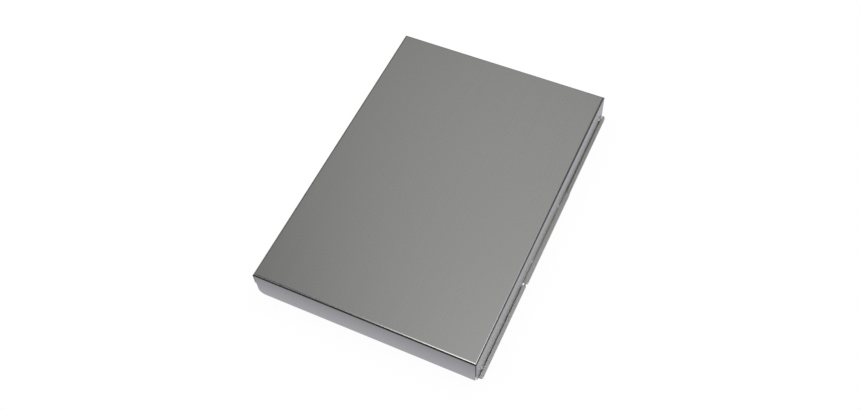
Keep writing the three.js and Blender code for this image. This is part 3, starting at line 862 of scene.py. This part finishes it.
def thumb_button():
    back, front = BUTTON_HIGH.x, BUTTON_LOW.x
    top = BUTTON_HIGH.z
    web, nose = back - BUTTON["web"], back - BUTTON["nose"]
    slope = 0.9
    profile = [(back, BUTTON["bottom"]), (back, top), (nose + slope, top - 0.2), (nose, top - slope)]
    profile += [(nose, BUTTON["nose_from"]), (web, BUTTON["nose_from"]), (web, BUTTON["top"])]
    profile += arc(front + 1, BUTTON["top"] - 1, 1, 90, 180)
    ridges = 5
    pitch = (BUTTON["top"] - BUTTON["bottom"] - 3) / ridges
    for i in range(ridges):
        z = BUTTON["top"] - 1.5 - i * pitch
        profile += [(front, z - 0.2 * pitch), (front + 0.3, z - 0.5 * pitch), (front, z - 0.8 * pitch)]
    profile += arc(front + 1, BUTTON["bottom"] + 1, 1, 180, 270)
    button = prism("y", profile, BUTTON_LOW.y, BUTTON_HIGH.y)
    return cut(button, rivet_hole("latch_button_rivet", LATCH_HOLE, (front - PAST, back + PAST)))


# ---------------------------------------------------------------- the studio
ROOM_COLOUR = (1.0, 1.0, 0.975)
ROOM_LEVEL = 0.09
# soft patches of light or shade: direction, the angles where each starts and ends its fade, strength
ROOM_LOBES = [
    ((0.15, -0.3, 1), (6, 30), 1.6),
    ((0.25, -0.2, 1), (8, 48), 0.42),
    ((0.15, 0.3, 1), (3, 18), 0.25),
    ((-0.25, 0.6, 1), (4, 22), 0.33),
    ((-0.75, 0.15, 1), (5, 38), -0.12),
    ((0.95, 0.4, 0.7), (5, 34), -0.45),
    ((0, -1, 0.2), (10, 50), -0.1),
    ((-1, -0.2, 0.25), (10, 45), 0.4),
    ((-0.1, 1, 0.12), (8, 36), 0.4),
    ((1, -0.5, 0.3), (10, 44), 0.4),
]
ROOM_DARKEST = 0.02
# what the floor gives to reflections, near the object, far from it and in front; fades in millimetres
FLOOR_NEAR = 0.50
FLOOR_FAR = 0.25
FRONT_SHADE = 0.08
FLOOR_COLOUR = (1.0, 0.975, 1.05)
FLOOR_FADE = (10, 120)
FRONT_FADE = (-12, 50)


def studio():
    """White all round for the camera, and for reflections a dim room with soft patches of light."""
    scene = bpy.context.scene
    scene.view_settings.view_transform = "Standard"
    world = bpy.data.worlds.new("studio")
    scene.world = world
    world.use_nodes = True
    nodes, links = world.node_tree.nodes, world.node_tree.links
    nodes.clear()
    output = nodes.new("ShaderNodeOutputWorld")
    mix = nodes.new("ShaderNodeMixShader")
    seen = add(nodes, "ShaderNodeBackground", Color=(1, 1, 1, 1), Strength=1.0)
    room = nodes.new("ShaderNodeBackground")
    path = nodes.new("ShaderNodeLightPath")
    links.new(path.outputs["Is Camera Ray"], mix.inputs["Fac"])
    links.new(room.outputs["Background"], mix.inputs[1])
    links.new(seen.outputs["Background"], mix.inputs[2])
    links.new(mix.outputs["Shader"], output.inputs["Surface"])
    where = nodes.new("ShaderNodeTexCoord")

    def lobe(direction, width, strength):
        """A soft patch of light or shade round a direction."""
        aim = Vector(direction).normalized()
        dot = nodes.new("ShaderNodeVectorMath")
        dot.operation = "DOT_PRODUCT"
        dot.inputs[1].default_value = aim
        links.new(where.outputs["Generated"], dot.inputs[0])
        ramp = nodes.new("ShaderNodeMapRange")
        ramp.interpolation_type = "SMOOTHSTEP"
        ramp.inputs["From Min"].default_value = math.cos(math.radians(width[1]))
        ramp.inputs["From Max"].default_value = math.cos(math.radians(width[0]))
        ramp.inputs["To Max"].default_value = strength
        links.new(dot.outputs["Value"], ramp.inputs["Value"])
        return ramp.outputs["Result"]

    total = None
    for part in ROOM_LOBES:
        value = lobe(*part)
        if total is None:
            total = value
            continue
        plus = nodes.new("ShaderNodeMath")
        plus.operation = "ADD"
        links.new(total, plus.inputs[0])
        links.new(value, plus.inputs[1])
        total = plus.outputs["Value"]
    level = nodes.new("ShaderNodeMath")
    level.operation = "ADD"
    level.inputs[1].default_value = ROOM_LEVEL
    links.new(total, level.inputs[0])
    limit = nodes.new("ShaderNodeMath")
    limit.operation = "MAXIMUM"
    limit.inputs[1].default_value = ROOM_DARKEST
    links.new(level.outputs["Value"], limit.inputs[0])
    links.new(limit.outputs["Value"], room.inputs["Strength"])
    room.inputs["Color"].default_value = (*ROOM_COLOUR, 1)


def floor_tone(nodes, links):
    """What the floor gives to reflections: pale round the object, fading away, most of all in front."""
    where = nodes.new("ShaderNodeTexCoord")
    parts = nodes.new("ShaderNodeSeparateXYZ")
    links.new(where.outputs["Object"], parts.inputs["Vector"])

    def maths(operation, first, second):
        node = nodes.new("ShaderNodeMath")
        node.operation = operation
        for socket, value in zip(node.inputs, (first, second)):
            if isinstance(value, float):
                socket.default_value = value
            else:
                links.new(value, socket)
        return node.outputs["Value"]

    def fading(distance, reach, near, far):
        fade = nodes.new("ShaderNodeMapRange")
        fade.interpolation_type = "SMOOTHSTEP"
        fade.inputs["From Min"].default_value = reach[0] * MM
        fade.inputs["From Max"].default_value = reach[1] * MM
        fade.inputs["To Min"].default_value = near
        fade.inputs["To Max"].default_value = far
        links.new(distance, fade.inputs["Value"])
        return fade.outputs["Result"]

    across = maths("SUBTRACT", maths("ABSOLUTE", parts.outputs["X"], 0.0), HALF_X * MM)
    along = maths("SUBTRACT", maths("ABSOLUTE", parts.outputs["Y"], 0.0), HALF_Y * MM)
    in_front = maths("SUBTRACT", -HALF_Y * MM, parts.outputs["Y"])
    tone = fading(maths("MAXIMUM", across, along), FLOOR_FADE, FLOOR_NEAR, FLOOR_FAR)
    return maths("MULTIPLY", tone, fading(in_front, FRONT_FADE, 1.0, FRONT_SHADE))


def ground():
    """A floor that the camera sees as white, a little darker where the object stands on it: a painted
    contact shadow.
    """
    half = 3.0  # metres
    bm = bmesh.new()
    corners_at = [(-half, -half, 0), (half, -half, 0), (half, half, 0), (-half, half, 0)]
    bm.faces.new([bm.verts.new(c) for c in corners_at])
    mesh = bpy.data.meshes.new("ground")
    bm.to_mesh(mesh)
    bm.free()
    obj = bpy.data.objects.new("ground", mesh)
    bpy.context.scene.collection.objects.link(obj)
    material, nodes, links, shader = node_material("ground")
    nodes.remove(shader)
    output = nodes["Material Output"]
    path = nodes.new("ShaderNodeLightPath")
    mix = nodes.new("ShaderNodeMixShader")
    seen = nodes.new("ShaderNodeEmission")
    room = add(nodes, "ShaderNodeEmission", Color=(*FLOOR_COLOUR, 1))
    links.new(floor_tone(nodes, links), room.inputs["Strength"])
    # painted contact shadow: the white that the camera sees is dimmed by ambient occlusion near the object
    shade = nodes.new("ShaderNodeAmbientOcclusion")
    shade.inputs["Distance"].default_value = 0.03
    links.new(remap(nodes, links, shade.outputs["AO"], 0.95, 1.0), seen.inputs["Strength"])
    links.new(path.outputs["Is Camera Ray"], mix.inputs["Fac"])
    links.new(room.outputs["Emission"], mix.inputs[1])
    links.new(seen.outputs["Emission"], mix.inputs[2])
    links.new(mix.outputs["Shader"], output.inputs["Surface"])
    mesh.materials.append(material)


CAMERA_ANGLES = (-29.267, 56.067, 4.986)  # azimuth, elevation and roll, in degrees
CAMERA_PLACE = (268.7, -498.2, 834.8)
CAMERA_LENS = 41.7
CAMERA_SENSOR = 36


def camera():
    """The photograph's view: above the front edge, to the hinge side, turned a little."""
    azimuth, elevation, roll = (math.radians(a) for a in CAMERA_ANGLES)
    place = Vector(CAMERA_PLACE) * MM
    level = math.cos(elevation)
    forward = Vector((math.sin(azimuth) * level, math.cos(azimuth) * level, -math.sin(elevation)))
    right = forward.cross(Vector((0, 0, 1))).normalized()
    up = right.cross(forward)
    turned_right = right * math.cos(roll) - up * math.sin(roll)
    turned_up = right * math.sin(roll) + up * math.cos(roll)
    data = bpy.data.cameras.new("camera")
    data.sensor_width = CAMERA_SENSOR
    data.lens = CAMERA_LENS
    obj = bpy.data.objects.new("camera", data)
    axes = Matrix((turned_right, turned_up, -forward)).transposed()
    obj.matrix_world = Matrix.Translation(place) @ axes.to_4x4()
    bpy.context.scene.collection.objects.link(obj)
    bpy.context.scene.camera = obj


# ---------------------------------------------------------------- the clipboard
def build_cover():
    finished(cover_sheet(), "cover", ALUMINIUM, "cover_sheet", ["cover_shell"])
    finished(leaf_sheet(), "cover", LEAF_METAL, "leaf_sheet", ["cover_hinge_leaf"])
    for end in ("front", "back"):
        set_rivet(f"corner_rivet_{end}", "cover", HALF_X - CORNER_SEAT, TAB_INNER, **CORNER_RIVET)
        set_rivet(f"leaf_rivet_{end}", "cover", HALF_X - LEAF_SEAT, LEAF_LOW.x, **SMALL_RIVET)


def build_base():
    finished(tray_sheet(), "base", ALUMINIUM, "tray_sheet", ["base_tray"])
    finished(hinge_pin(), "base", PLATED, "pin_rod", ["hinge_pin"])
    for end in ("front", "back"):
        node = f"tray_hinge_leaf_{end}"
        finished(tray_leaf(end), "base", LEAF_METAL, f"tray_leaf_{end}", [node])
        set_rivet(f"tray_rivet_{end}", "base", TRAY_LEFT, WALL_INNER + SEAM + SHEET, **SMALL_RIVET)
        set_rivet(f"latch_rivet_{end}", "base", TRAY_LEFT, LATCH_HIGH.x, **LATCH_RIVET)


def build_clip():
    finished(clip_plate(), "base", PLATED, "clip_plate", ["clip_base"], soft_edge=0.2)
    jaw = jaw_plate()
    finished(jaw, "jaw", PLATED, "jaw_plate", ["clip_jaw"], soft_edge=0.15, turned=True)
    finished(clip_rod(), "base", PLATED, "clip_rod", ["clip_pin"], sharp=45)
    for hand in ("left", "right"):
        node = f"clip_rivet_{hand}"
        finished(clip_rivet(node), "base", RIVET, f"set_{node}", [node], sharp=45)
        node = f"clip_spring_{hand}"
        low, high = corners(node)
        bends = ("base", "jaw", (low.x + 1, 0, 0), (high.x - 1, 0, 0))
        finished(coil(node), None, SPRING, f"coil_{hand}", [node], bends=bends)


def build_latch():
    bends = ("base", "latch", (0, 0, LATCH_SHOULDER - 3), (0, 0, LATCH_SHOULDER + 3))
    finished(latch_spring(), None, SPRING, "latch_spring", ["latch_leaf"], bends=bends)
    button = thumb_button()
    finished(button, "latch", PLATED, "thumb_button", ["latch_button"], soft_edge=0.2)
    outer = BUTTON_HIGH.x - BUTTON["web"]
    set_rivet("latch_button_rivet", "latch", outer, LATCH_HIGH.x, **LATCH_RIVET)


camera()
studio()
ground()
build_cover()
build_base()
build_clip()
build_latch()
